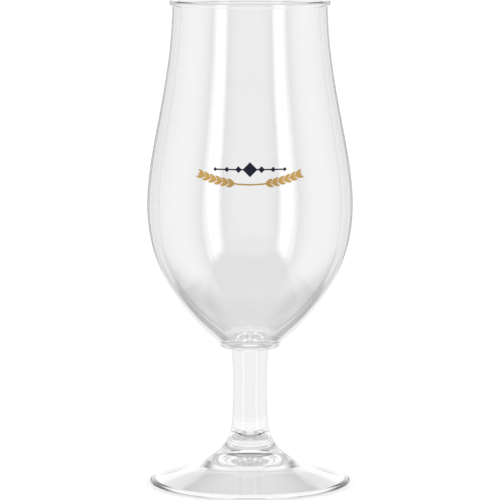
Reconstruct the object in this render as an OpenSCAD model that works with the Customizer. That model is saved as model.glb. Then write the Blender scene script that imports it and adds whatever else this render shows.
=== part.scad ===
// Stemmed beer glass: a tulip bowl on a collar, a waisted stem and a flared foot,
// with a two-colour print on the front of the bowl.
// Millimetres. The glass stands on z = 0 around the z axis and the print faces -y.
// The four glass pieces are fused end to end: each joint is a flat disc that both pieces share.

/* [Foot] */
// Diameter of the foot
foot_d = 74.4; // [64:0.1:86]
// Height of the foot, from the table to the joint with the stem
foot_h = 24; // [20:0.1:30]
// Radius of the rounded edge of the foot
foot_edge_r = 1.05; // [0.7:0.05:1.5]
// Slope of the top of the foot just inside its edge, in degrees
foot_slope = 17; // [12:0.5:20]
// How far the top of the foot keeps to that slope before it turns up
foot_pull_l = 19; // [14:0.5:22]
// How far the flare follows the stem before it spreads
flare_pull_l = 14.5; // [8:0.5:17]
// Width of the flat ring that touches the table
rest_w = 1.6; // [1:0.1:3]
// Rise of the hollow under the foot, at its middle
hollow_h = 9.6; // [7:0.1:10.5]
// How far the hollow keeps to the slope of the foot before it bends level
hollow_pull_l = 17; // [12:0.5:19]
// How far the hollow stays level around its middle
hollow_top_l = 9; // [5:0.5:11]

/* [Stem] */
// Length of the stem between its two joints
stem_h = 26.3; // [18:0.1:60]
// Diameter of the stem at the joint with the foot
stem_bottom_d = 13.2; // [12:0.1:16]
// Diameter of the stem at its waist
stem_waist_d = 12.5; // [10:0.1:14]
// Diameter of the stem at the joint with the collar
stem_top_d = 13.7; // [12:0.1:16]

/* [Collar] */
// Diameter of the collar, and of the joint with the bowl
collar_d = 21.8; // [19:0.1:26]
// Height of the collar
collar_h = 2.1; // [1.7:0.1:4]
// Rise of the underside of the collar, from the stem to its edge
collar_rise_h = 0.8; // [0.3:0.05:1]
// Radius of the lower edge of the collar
collar_edge_r = 0.6; // [0.2:0.05:0.7]

/* [Bowl] */
// Height of the bowl, from the collar to the top of the rim
bowl_h = 127.6; // [115:0.1:150]
// Largest diameter of the bowl
belly_d = 76.2; // [68:0.1:86]
// Height of the largest diameter above the collar
belly_h = 52.1; // [46:0.1:58]
// Slope of the bowl where it leaves the collar, in degrees
base_slope = 35.5; // [32:0.5:42]
// How far the bowl keeps to that slope
base_pull_l = 14; // [10:0.5:18]
// How far the belly keeps upright below its largest diameter
belly_pull_l = 27; // [22:0.5:30]
// How far the belly keeps upright above its largest diameter
shoulder_pull_l = 19.5; // [12:0.5:26]
// Outer diameter of the neck, just under the rim
neck_d = 57.1; // [50:0.1:66]
// Lean of the neck, in degrees
neck_lean = 1.2; // [0:0.1:3]
// How far the neck keeps to that lean
neck_pull_l = 30; // [20:0.5:36]
// Height of the round bead on the rim
rim_h = 2.2; // [1.6:0.1:3]
// Radius of the inner edge of the rim
lip_r = 1; // [0.5:0.05:1.2]

/* [Wall] */
// Thickness of the wall at the neck
neck_wall_t = 2.1; // [1.8:0.1:3]
// Thickness of the wall at the belly
belly_wall_t = 3; // [2:0.1:4]
// Thickness of the glass under the floor of the bowl
floor_t = 3.6; // [2.6:0.1:6]
// Diameter of the flat floor inside the bowl
floor_d = 20; // [12:0.1:22]

/* [Print] */
// Height of the middle of the print above the collar
print_h = 66.4; // [60:0.1:90]
// Thickness of the print
print_t = 0.1; // [0.05:0.01:0.3]
// Radius of the arc that the two ears of barley lie on
ear_arc_r = 48; // [40:0.5:70]
// Half of the width of the ears, along the arc
ear_l = 16.6; // [15:0.1:22]
// Distance of the lowest point of the arc below the middle of the print
ear_drop_h = 3.6; // [2.5:0.1:5]
// Width of the stalk
stalk_w = 0.55; // [0.4:0.05:0.9]
// Length of a grain
grain_l = 3.2; // [2.4:0.1:4]
// Width of a grain
grain_w = 1.2; // [0.8:0.05:1.6]
// Lean of a grain from the stalk, in degrees
grain_lean = 28; // [20:1:40]
// Distance between grains along the stalk
grain_step_l = 2.2; // [1.8:0.1:3]
// Pairs of grains on each ear
grain_pairs = 6; // [3:1:6]
// Length of the rule through the lozenges
rule_l = 25; // [18:0.5:27]
// Thickness of the rule
rule_w = 0.5; // [0.4:0.05:0.9]
// Height of the rule above the middle of the print
rule_rise_h = 1.8; // [1.5:0.1:3]
// Diagonal of the middle lozenge
lozenge_l = 5.4; // [4:0.1:6]
// Diagonal of the smallest lozenge, at either end
lozenge_end_l = 1.5; // [1:0.1:2]
// Lozenges on each side of the middle one
lozenge_pairs = 3; // [1:1:3]

/* [Hidden] */
$fn = 96;
curve_steps = 24;
arc_steps = 8;
foot_r = foot_d / 2;
collar_r = collar_d / 2;
belly_r = belly_d / 2;
neck_r = neck_d / 2;
cavity_neck_r = neck_r - neck_wall_t;
cavity_belly_r = belly_r - belly_wall_t;
neck_h = bowl_h - rim_h;
stem_z = foot_h;
collar_z = stem_z + stem_h;
bowl_z = collar_z + collar_h;
// Where the handles of an even curve lie, as a share of its length
third_share = 1 / 3;
glass_colour = [0.80, 0.88, 0.90, 0.45];
gold_colour = [0.77, 0.62, 0.31];
navy_colour = [0.09, 0.11, 0.22];

// A point on a cubic curve, at a share of the way along it
function curve_at(p, share) =
    pow(1 - share, 3) * p[0] + 3 * share * pow(1 - share, 2) * p[1]
    + 3 * pow(share, 2) * (1 - share) * p[2] + pow(share, 3) * p[3];

// The points of a cubic curve from step number first to the end
function curve(p, first = 0) = [for (i = [first : curve_steps]) curve_at(p, i / curve_steps)];

// The points of an arc between two angles
function arc(centre, r, from, to) =
    [for (i = [0 : arc_steps]) let (a = from + (to - from) * i / arc_steps) centre + r * [cos(a), sin(a)]];

// A step of a given length at a given slope
function along(l, slope) = l * [cos(slope), sin(slope)];

function reversed(points) = [for (i = [len(points) - 1 : -1 : 0]) points[i]];

// Outline of the stem as a curve: the handles are set so that its middle has the waist's radius
stem_bottom_r = stem_bottom_d / 2;
stem_top_r = stem_top_d / 2;
stem_handle_r = (stem_waist_d * 4 - stem_bottom_r - stem_top_r) / 6;
stem_side = [
    [stem_bottom_r, 0],
    [stem_handle_r, stem_h * third_share],
    [stem_handle_r, stem_h * (1 - third_share)],
    [stem_top_r, stem_h]
];

// Outline of the top of the foot: it leaves the rounded edge at the slope and runs on into the stem
edge_centre = [foot_r - foot_edge_r, foot_edge_r];
edge_arc = arc(edge_centre, foot_edge_r, -90, 90 - foot_slope);
edge_top = edge_arc[arc_steps];
stem_tilt = atan2(stem_h * third_share, stem_handle_r - stem_bottom_r);
flare_side = [
    edge_top,
    edge_top + along(foot_pull_l, 180 - foot_slope),
    [stem_bottom_r, foot_h] - along(flare_pull_l, stem_tilt),
    [stem_bottom_r, foot_h]
];

// Outline of the hollow under the foot, from the middle to the ring that it stands on
rest_inner_r = foot_r - foot_edge_r - rest_w;
hollow_side = [
    [0, hollow_h],
    [hollow_top_l, hollow_h],
    [rest_inner_r, 0] + along(hollow_pull_l, 180 - foot_slope),
    [rest_inner_r, 0]
];

// Outlines of the outside of the bowl, from the collar to the belly and on to the neck
base_side = [
    [collar_r, 0],
    [collar_r, 0] + along(base_pull_l, base_slope),
    [belly_r, belly_h - belly_pull_l],
    [belly_r, belly_h]
];
shoulder_side = [
    [belly_r, belly_h],
    [belly_r, belly_h + shoulder_pull_l],
    [neck_r, neck_h] - along(neck_pull_l, 90 + neck_lean),
    [neck_r, neck_h]
];
bowl_side = concat(curve(base_side), curve(shoulder_side, 1));

// Outlines of the inside of the bowl, from its floor to the belly and on to the neck
floor_side = [
    [floor_d / 2, floor_t],
    [floor_d / 2, floor_t] + along(base_pull_l, base_slope),
    [cavity_belly_r, belly_h - belly_pull_l],
    [cavity_belly_r, belly_h]
];
cavity_side = [
    [cavity_belly_r, belly_h],
    [cavity_belly_r, belly_h + shoulder_pull_l],
    [cavity_neck_r, neck_h] - along(neck_pull_l, 90 + neck_lean),
    [cavity_neck_r, neck_h]
];

// Foot: the rounded edge and the flare above, and a hollow cone below, within the ring that it stands on
module foot() {
    color(glass_colour)
        rotate_extrude()
            polygon(concat(curve(hollow_side), edge_arc, curve(flare_side, 1), [[0, foot_h]]));
}

// Stem: a solid rod with a slight waist
module stem() {
    color(glass_colour)
        translate([0, 0, stem_z])
            rotate_extrude()
                polygon(concat([[0, 0]], curve(stem_side), [[0, stem_h]]));
}

// Collar: the disc between stem and bowl, with a rounded lower edge
module collar() {
    edge = arc([collar_r - collar_edge_r, collar_rise_h + collar_edge_r], collar_edge_r, -90, 0);
    color(glass_colour)
        translate([0, 0, collar_z])
            rotate_extrude()
                polygon(concat([[0, 0], [stem_top_r, 0]], edge, [[collar_r, collar_h], [0, collar_h]]));
}

// Bowl: one wall from the collar to the rim, with a bead round the outside of the rim
module bowl() {
    bead = arc([neck_r, bowl_h - rim_h / 2], rim_h / 2, -90, 90);
    lip = arc([cavity_neck_r + lip_r, bowl_h - lip_r], lip_r, 90, 180);
    inside = concat(curve(floor_side), curve(cavity_side, 1));
    color(glass_colour)
        translate([0, 0, bowl_z])
            rotate_extrude()
                polygon(concat([[0, 0]], bowl_side, bead, lip, reversed(inside), [[0, floor_t]]));
}

// A thin film on the outside of the bowl, where a flat drawing is thrown on it from the front
module film(half_h) {
    step_h = bowl_h / curve_steps;
    band = [for (p = bowl_side) if (abs(p[1] - print_h) < half_h + step_h) p];
    raised = [for (p = band) p + [print_t, 0]];
    translate([0, 0, bowl_z])
        intersection() {
            rotate_extrude()
                polygon(concat(reversed(band), raised));
            translate([0, 0, print_h])
                rotate([90, 0, 0])
                    linear_extrude(height = belly_d)
                        children();
        }
}

// Grain: where two circles overlap, from the origin along +x
module grain() {
    r = (pow(grain_l, 2) + pow(grain_w, 2)) / (4 * grain_w);
    offset_y = r - grain_w / 2;
    intersection() {
        translate([grain_l / 2, offset_y])
            circle(r);
        translate([grain_l / 2, -offset_y])
            circle(r);
    }
}

// One ear of barley to the right of the middle, on the arc
module ear() {
    reach_angle = ear_l / ear_arc_r * 180 / PI;
    pitch_angle = grain_step_l / ear_arc_r * 180 / PI;
    translate([0, ear_arc_r - ear_drop_h]) {
        for (i = [0 : grain_pairs - 1])
            rotate(reach_angle - pitch_angle * i - 90)
                translate([ear_arc_r, 0])
                    for (side = [-1, 1])
                        rotate(90 + side * grain_lean)
                            grain();
        rotate(reach_angle - 90)
            translate([ear_arc_r, -stalk_w])
                rotate(90)
                    grain();
    }
}

// The stalk that joins the two ears, as a strip of a ring
module stalk() {
    reach_angle = ear_l / ear_arc_r * 180 / PI;
    centre = [0, ear_arc_r - ear_drop_h];
    outer = arc(centre, ear_arc_r + stalk_w / 2, -90 - reach_angle, -90 + reach_angle);
    inner = arc(centre, ear_arc_r - stalk_w / 2, -90 + reach_angle, -90 - reach_angle);
    polygon(concat(outer, inner));
}

// Gold print: two ears of barley on one stalk
module gold_print() {
    color(gold_colour)
        film(ear_drop_h + grain_l)
            union() {
                stalk();
                ear();
                mirror([1, 0])
                    ear();
            }
}

// A square on its corner
module lozenge(l) {
    polygon([[-l / 2, 0], [0, -l / 2], [l / 2, 0], [0, l / 2]]);
}

// Navy print: a row of lozenges on one rule, smaller towards the ends
module navy_print() {
    color(navy_colour)
        film(rule_rise_h + lozenge_l / 2)
            translate([0, rule_rise_h])
                union() {
                    square([rule_l, rule_w], center = true);
                    lozenge(lozenge_l);
                    for (i = [1 : lozenge_pairs], side = [-1, 1])
                        translate([side * rule_l / 2 * i / lozenge_pairs, 0])
                            lozenge(lozenge_end_l * (1 + (lozenge_pairs - i) / lozenge_pairs));
                }
}

foot();
stem();
collar();
bowl();
gold_print();
navy_print();
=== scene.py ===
import math

import bpy
import numpy as np
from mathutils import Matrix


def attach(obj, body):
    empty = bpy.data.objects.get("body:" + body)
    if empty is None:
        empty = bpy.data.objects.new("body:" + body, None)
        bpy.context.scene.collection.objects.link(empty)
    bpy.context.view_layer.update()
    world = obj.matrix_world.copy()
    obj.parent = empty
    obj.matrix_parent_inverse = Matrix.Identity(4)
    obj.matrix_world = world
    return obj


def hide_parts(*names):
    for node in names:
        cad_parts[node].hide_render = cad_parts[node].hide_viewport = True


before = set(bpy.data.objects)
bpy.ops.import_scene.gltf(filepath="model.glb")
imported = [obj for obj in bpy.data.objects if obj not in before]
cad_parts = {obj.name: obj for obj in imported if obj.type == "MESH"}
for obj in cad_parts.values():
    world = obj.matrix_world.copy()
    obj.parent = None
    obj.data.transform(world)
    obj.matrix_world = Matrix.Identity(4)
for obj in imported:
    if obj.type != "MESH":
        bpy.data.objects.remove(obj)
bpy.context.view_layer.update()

# Foot
# A round foot of clear glass, spun and pressed while hot and drawn up into the stem. Its underside
# is hollowed to a low dome, so it stands on a narrow ring at its edge. Its top is fused to the stem.
foot_r = 0.0372
foot_h = 0.024
foot_edge_r = 0.00105
foot_slope = 17
foot_pull = 0.019
flare_pull = 0.0145
rest_w = 0.0016
hollow_h = 0.0096
hollow_pull = 0.017
hollow_top = 0.009
stem_h = 0.0263
stem_bottom_r = 0.0066
stem_waist_r = 0.00625
stem_top_r = 0.00685
flare_steps = 72
foot_edge_steps = 20
joint_steps = 4
glass_ior = 1.5
most_mirrorings = 3
pressed_tint = "#FFFFFF"
# The material slots of every glass piece: its own surface, and where it is fused to the next piece.
skin, joint = 0, 1


def linear(hex_colour):
    """A colour written as sRGB hex, as linear red, green, blue and alpha."""
    colour = np.array([int(hex_colour[i:i + 2], 16) / 255 for i in (1, 3, 5)])
    colour = np.where(colour <= 0.04045, colour / 12.92, ((colour + 0.055) / 1.055) ** 2.4)
    return (*colour.tolist(), 1.0)


def add(tree, kind, settings=None, **inputs):
    """Adds a node, sets its settings, and gives each named or numbered (in_0) input a value or a link."""
    node = tree.nodes.new(kind)
    for key, value in (settings or {}).items():
        setattr(node, key, value)
    for key, value in inputs.items():
        socket = node.inputs[int(key[3:])] if key.startswith("in_") else node.inputs[key.replace("_", " ")]
        if isinstance(value, bpy.types.NodeSocket):
            tree.links.new(value, socket)
        else:
            socket.default_value = value
    return node


def along(length, slope):
    """A step of this length at this slope in degrees, in the plane of an outline."""
    return length * np.array([math.cos(math.radians(slope)), math.sin(math.radians(slope))])


def curve(p0, p1, p2, p3, steps):
    """A cubic curve at even shares t: the four points weighted by (1-t)^3, 3t(1-t)^2, 3t^2(1-t) and t^3."""
    t = np.linspace(0, 1, steps + 1)[:, None]
    p = np.array([p0, p1, p2, p3])
    return (1 - t) ** 3 * p[0] + 3 * t * (1 - t) ** 2 * p[1] + 3 * t ** 2 * (1 - t) * p[2] + t ** 3 * p[3]


def arc(centre, r, start, end, steps):
    """Points of a circle round the centre between two angles in degrees."""
    a = np.radians(np.linspace(start, end, steps + 1))
    return np.array(centre) + r * np.stack([np.cos(a), np.sin(a)], -1)


def line(start, end, steps=1):
    """A straight stretch of an outline in even steps."""
    return np.linspace(start, end, steps + 1)


def lathe(name, runs, materials):
    """A closed body of revolution. runs are the stretches of its outline, from the lower end of the axis
    round the outside to the upper end, each with its material slot. A point (r, z) becomes
    (r cos a, r sin a, z), and its normal is the outline's own normal (dz, -dr) carried round in the same
    way, taken within its run, so runs meet in a crease and fused pieces shade on as one."""
    turns = 256
    a = np.arange(turns) * 2 * np.pi / turns
    spin = np.stack([np.cos(a), np.sin(a)], -1)
    outline = np.concatenate([runs[0][0]] + [points[1:] for points, _ in runs[1:]])
    low, high, slots = [], [], []
    for points, slot in runs:
        d = np.gradient(points, axis=0, edge_order=2 if len(points) > 2 else 1)
        normal = np.stack([d[:, 1], -d[:, 0]], -1) / np.linalg.norm(d, axis=1)[:, None]
        low.append(normal[:-1])
        high.append(normal[1:])
        slots.append(np.full(len(points) - 1, slot))
    low, high, slots = np.concatenate(low), np.concatenate(high), np.concatenate(slots)

    def carried(rows):
        """Each row (r, z) at every turn round the axis."""
        rz = rows[:, None, :]
        heights = np.broadcast_to(rz[..., 1:], (len(rows), turns, 1))
        return np.concatenate([rz[..., :1] * spin, heights], -1)

    rings = carried(outline[1:-1])
    ends = [[[0, 0, outline[0, 1]]], [[0, 0, outline[-1, 1]]]]
    vertices = np.concatenate([ends[0], rings.reshape(-1, 3), ends[1]])
    index = np.zeros((len(outline), turns), int)
    index[1:-1] = 1 + np.arange(rings.shape[0] * turns).reshape(-1, turns)
    index[-1] = len(vertices) - 1
    right = np.roll(index, -1, 1)
    quads = np.stack([index[:-1], right[:-1], right[1:], index[1:]], -1)
    low, high = carried(low), carried(high)
    normals = np.stack([low, np.roll(low, -1, 1), np.roll(high, -1, 1), high], 2)
    # The bands between rings have four corners to a face, and those at the two ends have three.
    corners = [(slice(1, -1), [0, 1, 2, 3]), (slice(0, 1), [0, 2, 3]), (slice(-1, None), [0, 1, 2])]
    faces = [quads[band][:, :, pick].reshape(-1, len(pick)).tolist() for band, pick in corners]
    face_slots = [np.repeat(slots[band], turns) for band, _ in corners]
    corner_normals = [normals[band][:, :, pick].reshape(-1, 3) for band, pick in corners]
    mesh = bpy.data.meshes.new(name)
    mesh.from_pydata(vertices.tolist(), [], sum(faces, []))
    mesh.polygons.foreach_set("use_smooth", np.ones(len(mesh.polygons), bool))
    mesh.polygons.foreach_set("material_index", np.concatenate(face_slots))
    mesh.normals_split_custom_set(np.concatenate(corner_normals).tolist())
    for material in materials:
        mesh.materials.append(material)
    piece = bpy.data.objects.new(name, mesh)
    bpy.context.scene.collection.objects.link(piece)
    return piece


def clear_glass(name, tint):
    """Clear soda-lime glass, smooth from the fire, so it shows only what it bends and mirrors. A ray that has
    been mirrored more often than most_mirrorings leaves straight on, as such light gets out in the end."""
    material = bpy.data.materials.new(name)
    material.use_nodes = True
    tree = material.node_tree
    tree.nodes.clear()
    glass = add(tree, "ShaderNodeBsdfPrincipled", Base_Color=linear(tint), Roughness=0.0, IOR=glass_ior,
                Transmission_Weight=1.0)
    depth = add(tree, "ShaderNodeLightPath").outputs["Glossy Depth"]
    spent = add(tree, "ShaderNodeMath", {"operation": "GREATER_THAN"}, in_0=depth, in_1=most_mirrorings + 0.5)
    leaving = add(tree, "ShaderNodeBsdfTransparent")
    surface = add(tree, "ShaderNodeMixShader", in_0=spent.outputs[0], in_1=glass.outputs[0],
                  in_2=leaving.outputs[0])
    add(tree, "ShaderNodeOutputMaterial", Surface=surface.outputs[0])
    return material


# Clear soda-lime glass, pressed and drawn hot.
pressed_glass = clear_glass("clear_soda_lime_glass_pressed", pressed_tint)

# Fused glass joint: two pieces run together while molten, so there is no surface left to see.
fused_joint = bpy.data.materials.new("fused_glass_joint")
fused_joint.use_nodes = True
tree = fused_joint.node_tree
tree.nodes.clear()
add(tree, "ShaderNodeOutputMaterial", Surface=add(tree, "ShaderNodeBsdfTransparent").outputs[0])

# The stem's curve is (bottom + 6 handle + top) / 8 wide half way up, and that is its waist.
stem_handle_r = (stem_waist_r * 8 - stem_bottom_r - stem_top_r) / 6
stem_tilt = math.degrees(math.atan2(stem_h / 3, stem_handle_r - stem_bottom_r))
rest_r = foot_r - foot_edge_r
hollow_r = rest_r - rest_w
hollow_edge = np.array([hollow_r, 0])
hollow = curve([0, hollow_h], [hollow_top, hollow_h], hollow_edge + along(hollow_pull, 180 - foot_slope),
               hollow_edge, flare_steps)
foot_edge = arc([rest_r, foot_edge_r], foot_edge_r, -90, 90 - foot_slope, foot_edge_steps)
flare_top = np.array([stem_bottom_r, foot_h])
flare = curve(foot_edge[-1], foot_edge[-1] + along(foot_pull, 180 - foot_slope),
              flare_top - along(flare_pull, stem_tilt), flare_top, flare_steps)
foot = lathe("foot_glass", [
    (hollow, skin),
    (line([hollow_r, 0], [rest_r, 0]), skin),
    (foot_edge, skin),
    (flare, skin),
    (line([stem_bottom_r, foot_h], [0, foot_h], joint_steps), joint),
], [pressed_glass, fused_joint])
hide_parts("foot")
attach(foot, "root")

# Stem
# A solid rod of clear glass, drawn out hot to a slight waist and fire-polished.
# It is fused to the foot below and to the collar above.
stem_steps = 48
blown_tint = "#F8F8F8"
stem_z = foot_h
stem_top_z = stem_z + stem_h
stem_side = curve([stem_bottom_r, stem_z], [stem_handle_r, stem_z + stem_h / 3],
                  [stem_handle_r, stem_z + stem_h * 2 / 3], [stem_top_r, stem_top_z], stem_steps)
# Clear soda-lime glass, blown and drawn, with a trace of grey.
blown_glass = clear_glass("clear_soda_lime_glass_blown", blown_tint)
stem = lathe("stem_glass", [
    (line([0, stem_z], [stem_bottom_r, stem_z], joint_steps), joint),
    (stem_side, skin),
    (line([stem_top_r, stem_top_z], [0, stem_top_z], joint_steps), joint),
], [blown_glass, fused_joint])
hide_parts("stem")
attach(stem, "root")

# Collar
# A small disc of clear glass between stem and bowl, with a rounded lower edge.
# It is what is left of the gob that the stem was drawn from, and it is fused on both sides.
collar_r = 0.0109
collar_h = 0.0021
collar_rise = 0.0008
collar_edge_r = 0.0006
collar_edge_steps = 12
underside_steps = 6
short_steps = 2
collar_top_z = stem_top_z + collar_h
collar_edge_z = stem_top_z + collar_rise + collar_edge_r
collar_edge = arc([collar_r - collar_edge_r, collar_edge_z], collar_edge_r, -90, 0, collar_edge_steps)
collar = lathe("collar_glass", [
    (line([0, stem_top_z], [stem_top_r, stem_top_z], joint_steps), joint),
    (line([stem_top_r, stem_top_z], collar_edge[0], underside_steps), skin),
    (collar_edge, skin),
    (line(collar_edge[-1], [collar_r, collar_top_z], short_steps), skin),
    (line([collar_r, collar_top_z], [0, collar_top_z], joint_steps), joint),
], [blown_glass, fused_joint])
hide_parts("collar")
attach(collar, "root")

# Bowl
# The blown bowl of clear glass: a slim tulip with a thick floor and a wall that thins towards the rim.
# The rim is cut, then melted to a round bead. Its base is fused to the collar.
bowl_h = 0.1276
belly_r = 0.0381
belly_h = 0.0521
base_slope = 35.5
base_pull = 0.014
belly_pull = 0.027
shoulder_pull = 0.0195
neck_r = 0.02855
neck_lean = 1.2
neck_pull = 0.03
rim_h = 0.0022
lip_r = 0.001
neck_wall = 0.0021
belly_wall = 0.003
floor_t = 0.0036
floor_r = 0.01
bowl_steps = 60
bead_steps = 24
lip_steps = 12
floor_steps = 6
bowl_z = collar_top_z
belly_z = bowl_z + belly_h
rim_z = bowl_z + bowl_h
neck_z = rim_z - rim_h
cavity_belly_r = belly_r - belly_wall
cavity_neck_r = neck_r - neck_wall
base_start = np.array([collar_r, bowl_z])
floor_start = np.array([floor_r, bowl_z + floor_t])
neck_end = np.array([neck_r, neck_z])
cavity_end = np.array([cavity_neck_r, neck_z])
base_reach = along(base_pull, base_slope)
neck_reach = along(neck_pull, 90 + neck_lean)
base_side = curve(base_start, base_start + base_reach,
                  [belly_r, belly_z - belly_pull], [belly_r, belly_z], bowl_steps)
shoulder_side = curve([belly_r, belly_z], [belly_r, belly_z + shoulder_pull],
                      neck_end - neck_reach, neck_end, bowl_steps)
bead = arc([neck_r, rim_z - rim_h / 2], rim_h / 2, -90, 90, bead_steps)
lip = arc([cavity_neck_r + lip_r, rim_z - lip_r], lip_r, 90, 180, lip_steps)
cavity_side = curve([cavity_belly_r, belly_z], [cavity_belly_r, belly_z + shoulder_pull],
                    cavity_end - neck_reach, cavity_end, bowl_steps)
floor_side = curve(floor_start, floor_start + base_reach,
                   [cavity_belly_r, belly_z - belly_pull], [cavity_belly_r, belly_z], bowl_steps)
bowl = lathe("bowl_glass", [
    (line([0, bowl_z], [collar_r, bowl_z], joint_steps), joint),
    (base_side, skin),
    (shoulder_side, skin),
    (bead, skin),
    (line(bead[-1], lip[0], short_steps), skin),
    (lip, skin),
    (line(lip[-1], cavity_side[-1], short_steps), skin),
    (cavity_side[::-1], skin),
    (floor_side[::-1], skin),
    (line(floor_side[0], [0, bowl_z + floor_t], floor_steps), skin),
], [blown_glass, fused_joint])
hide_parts("bowl")
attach(bowl, "root")

# Gold print
# Two ears of barley on one stalk, screen printed in gold enamel on the front of the bowl
# and fired until the enamel sinks into the glass.
gold_light, gold_deep = "#DCB46C", "#C69C50"
gold_metallic = 0.35
gold_roughness = 0.38
screen_mm = 0.35
mottle_mm = screen_mm * 4
satin_spread = 0.08
grit_depth = 0.00002
grit_strength = 0.15
enamel_specular = 0.35
# A colour Mix node takes its share at input 0 and its colours at inputs 6 and 7. Its output 2 is the result.
blend = {"data_type": "RGBA"}


def enamel(name, light, deep, metallic, roughness):
    """Fired enamel ink: two close shades mottled over a few threads of the printing screen, and a satin skin
    with a grit as fine as one thread."""
    material = bpy.data.materials.new(name)
    material.use_nodes = True
    tree = material.node_tree
    tree.nodes.clear()
    place = add(tree, "ShaderNodeTexCoord").outputs["Object"]
    mottle = add(tree, "ShaderNodeTexNoise", Vector=place, Scale=1000 / mottle_mm, Detail=3.0).outputs["Fac"]
    shade = add(tree, "ShaderNodeMix", blend, in_0=mottle, in_6=linear(light), in_7=linear(deep))
    satin = add(tree, "ShaderNodeMapRange", Value=mottle, To_Min=roughness - satin_spread,
                To_Max=roughness + satin_spread)
    grit = add(tree, "ShaderNodeTexNoise", Vector=place, Scale=1000 / screen_mm, Detail=2.0).outputs["Fac"]
    bump = add(tree, "ShaderNodeBump", Strength=grit_strength, Distance=grit_depth, Height=grit)
    ink = add(tree, "ShaderNodeBsdfPrincipled", Base_Color=shade.outputs[2], Roughness=satin.outputs[0],
              Normal=bump.outputs[0], Metallic=metallic, Specular_IOR_Level=enamel_specular)
    add(tree, "ShaderNodeOutputMaterial", Surface=ink.outputs[0])
    return material


gold_enamel = enamel("gold_enamel_fired", gold_light, gold_deep, gold_metallic, gold_roughness)
gold_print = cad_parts["gold_print"]
gold_print.data.materials.clear()
gold_print.data.materials.append(gold_enamel)

# Navy print
# A row of lozenges on a rule, printed in a second pass in navy enamel and fired with the gold.
# It has no metal in it, and it is a little duller.
navy_light, navy_deep = "#141A38", "#0C1026"
navy_metallic = 0.0
navy_roughness = 0.42
navy_enamel = enamel("navy_enamel_fired", navy_light, navy_deep, navy_metallic, navy_roughness)
navy_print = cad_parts["navy_print"]
navy_print.data.materials.clear()
navy_print.data.materials.append(navy_enamel)

# Table
# A plain pale table top in matt lacquer, wide enough to fill the view. It takes the glass's shadow, and the
# eye sees it as white as the backdrop. In and through the glass the studio stands in for it.
table_half = 3.0
table_z = -0.0003
table_points = 9
table_glow = 0.57
table_colour = "#BFBFBF"
table_edge = np.linspace(-table_half, table_half, table_points)
table_x, table_y = np.meshgrid(table_edge, table_edge, indexing="ij")
table_grid = np.stack([table_x, table_y, np.full_like(table_x, table_z)], -1)
grid = np.arange(table_points ** 2).reshape(table_points, table_points)
table_faces = np.stack([grid[:-1, :-1], grid[1:, :-1], grid[1:, 1:], grid[:-1, 1:]], -1)
table_mesh = bpy.data.meshes.new("table")
table_mesh.from_pydata(table_grid.reshape(-1, 3).tolist(), [], table_faces.reshape(-1, 4).tolist())
table = bpy.data.objects.new("table", table_mesh)
bpy.context.scene.collection.objects.link(table)
table_top = bpy.data.materials.new("table_top_matt_lacquer")
table_top.use_nodes = True
tree = table_top.node_tree
tree.nodes.clear()
to_eye = add(tree, "ShaderNodeLightPath").outputs["Is Camera Ray"]
matt = add(tree, "ShaderNodeBsdfDiffuse", Color=linear(table_colour))
level = add(tree, "ShaderNodeMath", {"operation": "MULTIPLY"}, in_0=to_eye, in_1=table_glow)
glow = add(tree, "ShaderNodeEmission", Strength=level.outputs[0])
top = add(tree, "ShaderNodeAddShader", in_0=matt.outputs[0], in_1=glow.outputs[0])
add(tree, "ShaderNodeOutputMaterial", Surface=top.outputs[0])
table_mesh.materials.append(table_top)
table.visible_glossy = False
table.visible_transmission = False

# Painted shade under the foot
# A flat disc that glows at a fixed grey level stands in for the round patch of the table that the foot
# covers: it is painted shade, not shade cast by a lamp.
# It is seen only straight through the foot, so a ray that was mirrored passes it by.
shade_z = -0.0002
painted_shade_level = 0.82
shade_step = 5
shade_turn = np.radians(np.arange(0, 360, shade_step))
shade_x, shade_y = hollow_r * np.cos(shade_turn), hollow_r * np.sin(shade_turn)
shade_rim = np.stack([shade_x, shade_y, np.full_like(shade_turn, shade_z)], -1)
shade_mesh = bpy.data.meshes.new("painted_table_shade")
shade_mesh.from_pydata(shade_rim.tolist(), [], [list(range(len(shade_rim)))])
shade = bpy.data.objects.new("painted_table_shade", shade_mesh)
bpy.context.scene.collection.objects.link(shade)
painted_shade_top = bpy.data.materials.new("table_top_in_shade")
painted_shade_top.use_nodes = True
tree = painted_shade_top.node_tree
tree.nodes.clear()
depth = add(tree, "ShaderNodeLightPath").outputs["Glossy Depth"]
once = add(tree, "ShaderNodeMath", {"operation": "GREATER_THAN"}, in_0=depth, in_1=0.5)
# Painted shade: the disc glows at this grey level in place of the table lit in the foot's shadow.
glow = add(tree, "ShaderNodeEmission", Strength=painted_shade_level)
leaving = add(tree, "ShaderNodeBsdfTransparent")
top = add(tree, "ShaderNodeMixShader", in_0=once.outputs[0], in_1=glow.outputs[0], in_2=leaving.outputs[0])
add(tree, "ShaderNodeOutputMaterial", Surface=top.outputs[0])
shade_mesh.materials.append(painted_shade_top)
shade.visible_camera = False
shade.visible_diffuse = False
shade.visible_glossy = False
shade.visible_shadow = False

# Studio
# A white room, which shows through the glass as a near even white. What the glass mirrors of it is two
# upright softboxes with dark frames beside the camera, pale sides, a white back with a dark slit on either
# side, a dark board and a grey floor below, and a ceiling that is dark but for some light behind.
white = (1.0, 1.0, 1.0, 1.0)
black = (0.0, 0.0, 0.0, 1.0)
floor_behind = (0.75, 0.75, 0.75, 1.0)
clear_white = (0.96, 0.96, 0.96, 1.0)
bowl_crossings = 4
times = {"data_type": "RGBA", "blend_type": "MULTIPLY"}
world = bpy.data.worlds.new("studio")
bpy.context.scene.world = world
world.use_nodes = True
tree = world.node_tree
tree.nodes.clear()

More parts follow.
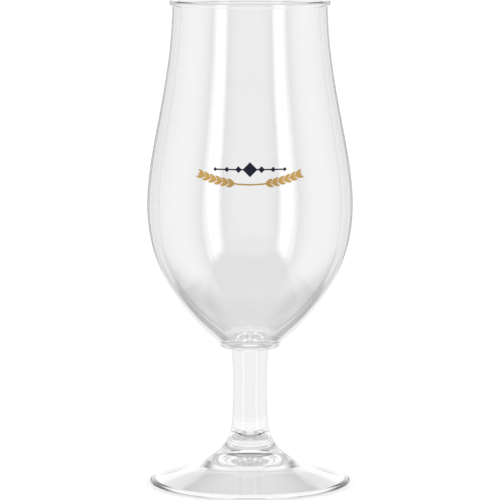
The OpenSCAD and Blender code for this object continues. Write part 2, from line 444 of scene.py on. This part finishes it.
# turn runs from 0 degrees on the camera's side to 180 behind, the same on the left and on the right.
# rise is the height over the horizon. tilt and steep are that height seen from the side and from the front.
way = add(tree, "ShaderNodeSeparateXYZ", in_0=add(tree, "ShaderNodeTexCoord").outputs["Generated"])
side = add(tree, "ShaderNodeMath", {"operation": "ABSOLUTE"}, in_0=way.outputs["X"])
ahead = add(tree, "ShaderNodeMath", {"operation": "MULTIPLY"}, in_0=way.outputs["Y"], in_1=-1.0)
turn = add(tree, "ShaderNodeMath", {"operation": "ARCTAN2"}, in_0=side.outputs[0], in_1=ahead.outputs[0])
rise = add(tree, "ShaderNodeMath", {"operation": "ARCSINE"}, in_0=way.outputs["Z"])
tilt = add(tree, "ShaderNodeMath", {"operation": "ARCTAN2"}, in_0=way.outputs["Z"], in_1=ahead.outputs[0])
steep = add(tree, "ShaderNodeMath", {"operation": "ARCTAN2"}, in_0=way.outputs["Z"], in_1=side.outputs[0])


def lit(angle, stops):
    """Brightness by an angle of the room: it runs straight from stop to stop, each (degrees, brightness)."""
    share = add(tree, "ShaderNodeMapRange", Value=angle.outputs[0], From_Min=-math.pi / 2, From_Max=math.pi)
    ramp = add(tree, "ShaderNodeValToRGB", Fac=share.outputs[0])
    while len(ramp.color_ramp.elements) < len(stops):
        ramp.color_ramp.elements.new(1.0)
    for element, (degrees, brightness) in zip(ramp.color_ramp.elements, stops):
        element.position = (degrees + 90) / 270
        element.color = (brightness, brightness, brightness, 1.0)
    return ramp.outputs["Color"]


# The walls all round: the grey front, a softbox between two dark frames, the pale side and the white back.
# The slit is cut into the back at the horizon, and below it the back is a little uneven.
walls = lit(turn, [(0, 0.7), (14, 0.7), (20, 0.62), (27, 0.42),
                   (33, 0.15), (35.6, 0.15), (36.2, 2.1), (55, 2.1), (55.6, 0.2), (60, 0.2),
                   (69, 0.78), (80, 1.05), (90, 1.1), (105, 1.1), (112, 1.0), (120, 0.88), (136, 0.86),
                   (139, 0.88), (145, 0.88), (148, 0.78), (157, 0.8), (161, 0.97), (168, 1.12)])
slit = add(tree, "ShaderNodeMix", times, in_0=1.0,
           in_6=lit(turn, [(160, 0.0), (162.5, 0.85), (170, 0.85), (173, 0.0)]),
           in_7=lit(rise, [(-12, 0.0), (-9.5, 1.0), (6, 1.0), (9, 0.0)])).outputs[2]
walls = add(tree, "ShaderNodeMix", blend, in_0=slit, in_6=walls, in_7=black).outputs[2]
back_round = lit(turn, [(136, 1.0), (141, 1.08), (146, 1.08), (149, 0.84), (158, 0.8), (164, 1.0)])
walls = add(tree, "ShaderNodeMix", times, in_0=lit(rise, [(-26, 1.0), (-15, 1.0), (-12, 0.0)]), in_6=walls,
            in_7=back_round).outputs[2]

# The grey floor, lighter straight behind. At the sides its edge is straight, and behind it keeps one height.
floor_grey = lit(rise, [(-62, 0.58), (-48, 0.7), (-42, 0.55), (-38, 0.45), (-32, 0.41), (-29, 0.43),
                        (-26, 0.5)])
floor = add(tree, "ShaderNodeMix", blend, in_0=lit(turn, [(166, 0.0), (171, 1.0)]), in_6=floor_grey,
            in_7=floor_behind).outputs[2]
low = add(tree, "ShaderNodeMix", blend, in_0=lit(turn, [(118, 0.0), (138, 1.0)]),
          in_6=lit(steep, [(-41.5, 1.0), (-40.5, 0.0)]),
          in_7=lit(rise, [(-26.7, 1.0), (-24.3, 0.0)])).outputs[2]
low = add(tree, "ShaderNodeMix", times, in_0=1.0, in_6=low, in_7=lit(turn, [(57, 0.0), (60, 1.0)])).outputs[2]
room = add(tree, "ShaderNodeMix", blend, in_0=low, in_6=walls, in_7=floor).outputs[2]

# The dark board on the camera's side of the floor, with straight edges.
board = add(tree, "ShaderNodeMix", times, in_0=1.0, in_6=lit(tilt, [(-33.5, 1.0), (-32.5, 0.0)]),
            in_7=lit(steep, [(-41.5, 1.0), (-40.5, 0.0)])).outputs[2]
board = add(tree, "ShaderNodeMix", times, in_0=1.0, in_6=board,
            in_7=lit(turn, [(58, 1.0), (60, 0.0)])).outputs[2]
room = add(tree, "ShaderNodeMix", blend, in_0=board, in_6=room,
           in_7=lit(rise, [(-75, 0.5), (-52, 0.06), (-33, 0.0)])).outputs[2]

# The ceiling: black, and grey behind, where a dark band crosses it.
behind = lit(turn, [(138, 0.0), (150, 1.0)])
high = add(tree, "ShaderNodeMix", blend, in_0=behind, in_6=lit(steep, [(40.3, 0.0), (41.5, 1.0)]),
           in_7=white).outputs[2]
high = add(tree, "ShaderNodeMix", times, in_0=1.0, in_6=high,
           in_7=lit(rise, [(20.5, 0.0), (22, 1.0)])).outputs[2]
banded = lit(rise, [(22, 0.85), (32, 0.72), (33.3, 0.03), (36, 0.05), (44, 0.4), (48, 0.5)])
ceiling = add(tree, "ShaderNodeMix", blend, in_0=lit(turn, [(160, 0.0), (166, 1.0)]),
              in_6=lit(rise, [(20, 0.8), (26, 0.35), (38, 0.3), (44, 0.65)]), in_7=banded).outputs[2]
ceiling = add(tree, "ShaderNodeMix", times, in_0=1.0, in_6=behind, in_7=ceiling).outputs[2]
room = add(tree, "ShaderNodeMix", blend, in_0=high, in_6=room, in_7=ceiling).outputs[2]

# What a ray that was mirrored more than once finds: softer light, dark only low down towards the back,
# and a little less of it far up and far down.
dim_share = lit(turn, [(108, 0.0), (116, 0.6), (138, 0.6), (142, 1.0), (154, 1.0), (158, 0.0)])
dim_level = lit(rise, [(-40, 0.6), (-33, 0.6), (-27, 0.12), (-19, 0.12), (-14, 0.5), (-8, 0.85), (0, 1.0)])
inner = add(tree, "ShaderNodeMix", blend, in_0=dim_share, in_6=white, in_7=dim_level).outputs[2]
inner_round = lit(turn, [(0, 1.02), (60, 0.98), (75, 1.05), (100, 1.2), (124, 1.16), (140, 0.85), (157, 0.8),
                         (160, 0.98)])
inner = add(tree, "ShaderNodeMix", times, in_0=1.0, in_6=inner, in_7=inner_round).outputs[2]
inner = add(tree, "ShaderNodeMix", times, in_6=inner,
            in_0=lit(turn, [(82, 1.0), (96, 0.2), (130, 0.2), (145, 1.0)]),
            in_7=lit(rise, [(-45, 0.75), (-36, 0.72), (-29, 1.0), (22, 1.0), (35, 0.66)])).outputs[2]
inner = add(tree, "ShaderNodeMix", times, in_6=inner,
            in_0=lit(turn, [(55, 0.0), (62, 1.0), (122, 1.0), (134, 0.0)]),
            in_7=lit(rise, [(-45, 0.7), (-25, 0.58), (-17, 1.0), (26, 1.0), (38, 0.8)])).outputs[2]

# What a ray that went through both walls of the bowl finds: white straight behind, and greyer off to the
# sides below the horizon.
bent_round = lit(turn, [(158, 0.42), (165, 0.6), (170, 0.78), (173, 0.88), (175, 0.97), (177, 1.0)])
bent = add(tree, "ShaderNodeMix", blend, in_0=lit(rise, [(-32, 0.0), (-27, 1.0), (-17, 1.0), (-14, 0.0)]),
           in_6=white, in_7=bent_round).outputs[2]
bent = add(tree, "ShaderNodeMix", times, in_0=lit(rise, [(-17, 0.0), (-15, 1.0), (-10.5, 1.0), (-8, 0.0)]),
           in_6=bent, in_7=lit(turn, [(164, 0.76), (168, 0.84), (175.5, 0.86), (177.3, 1.0)])).outputs[2]
bent = add(tree, "ShaderNodeMix", times, in_0=1.0, in_6=bent,
           in_7=lit(rise, [(-32, 0.95), (-16, 0.95), (-14.5, 0.92), (-12, 0.93), (-9.5, 1.0)])).outputs[2]

# Each ray gets its own of these, and the eye sees white past the glass.
path = add(tree, "ShaderNodeLightPath")
mirrorings = path.outputs["Glossy Depth"]
crossings = path.outputs["Transmission Depth"]
once = add(tree, "ShaderNodeMath", {"operation": "GREATER_THAN"}, in_0=mirrorings, in_1=0.5)
twice = add(tree, "ShaderNodeMath", {"operation": "GREATER_THAN"}, in_0=mirrorings, in_1=1.5)
walled = add(tree, "ShaderNodeMath", {"operation": "GREATER_THAN"}, in_0=crossings, in_1=bowl_crossings - 0.5)
mirrored = add(tree, "ShaderNodeMix", blend, in_0=twice.outputs[0], in_6=room, in_7=inner).outputs[2]
clear = add(tree, "ShaderNodeMix", blend, in_0=walled.outputs[0], in_6=clear_white, in_7=bent).outputs[2]
found = add(tree, "ShaderNodeMix", blend, in_0=once.outputs[0], in_6=clear, in_7=mirrored).outputs[2]
to_eye = path.outputs["Is Camera Ray"]
seen = add(tree, "ShaderNodeMix", blend, in_0=to_eye, in_6=found, in_7=white).outputs[2]
backdrop = add(tree, "ShaderNodeBackground", Color=seen, Strength=1.0)
add(tree, "ShaderNodeOutputWorld", Surface=backdrop.outputs[0])

# Camera
# A long lens about 1.4 m in front of the glass, a little above its rim and tipped down to it.
# The view transform is Standard, so colours come out as they are written.
camera_place = (0.0, -1.3621, 0.2444)
camera_tip = 0.11483
camera = bpy.data.cameras.new("camera")
camera.sensor_width = 36
camera.lens = 266.36
camera.clip_start = 0.01
camera_object = bpy.data.objects.new("camera", camera)
camera_object.location = camera_place
camera_object.rotation_euler = (math.pi / 2 - camera_tip, 0.0, 0.0)
bpy.context.scene.collection.objects.link(camera_object)
bpy.context.scene.camera = camera_object
bpy.context.scene.view_settings.view_transform = "Standard"
